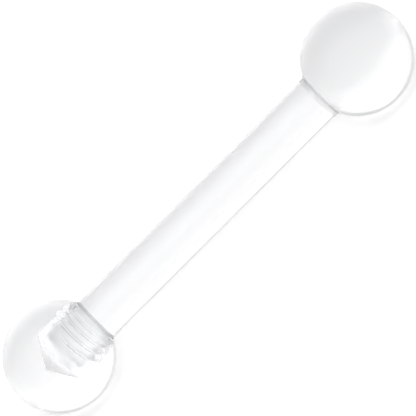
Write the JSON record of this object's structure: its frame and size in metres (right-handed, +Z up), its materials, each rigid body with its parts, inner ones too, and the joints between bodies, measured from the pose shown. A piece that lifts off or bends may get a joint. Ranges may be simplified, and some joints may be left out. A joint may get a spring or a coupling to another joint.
{
  "type": "straight barbell",
  "caption": "Clear plastic straight barbell for a piercing: a bar moulded with its fixed ball, and a tapped ball that screws onto the other end.",
  "frame": {"origin": "on the surface that the barbell lies on, under the middle of its length", "axes": "+X along the bar, from the fixed ball to the screw ball, which comes off that way; +Z up from the surface"},
  "size_m": [0.014, 0.003, 0.003],
  "materials": {
    "clear_bar": "gloss, clear as water",
    "clear_ball": "gloss, clear as water"
  },
  "bodies": {
    "bar": {"bar": "clear_bar"},
    "screw_ball": {"screw_ball": "clear_ball"}
  },
  "joints": [
    {"name": "ball_off", "type": "slide", "parent": "bar", "child": "screw_ball", "axis": [1, 0, 0], "range_m": [0, 0.01]}
  ]
}
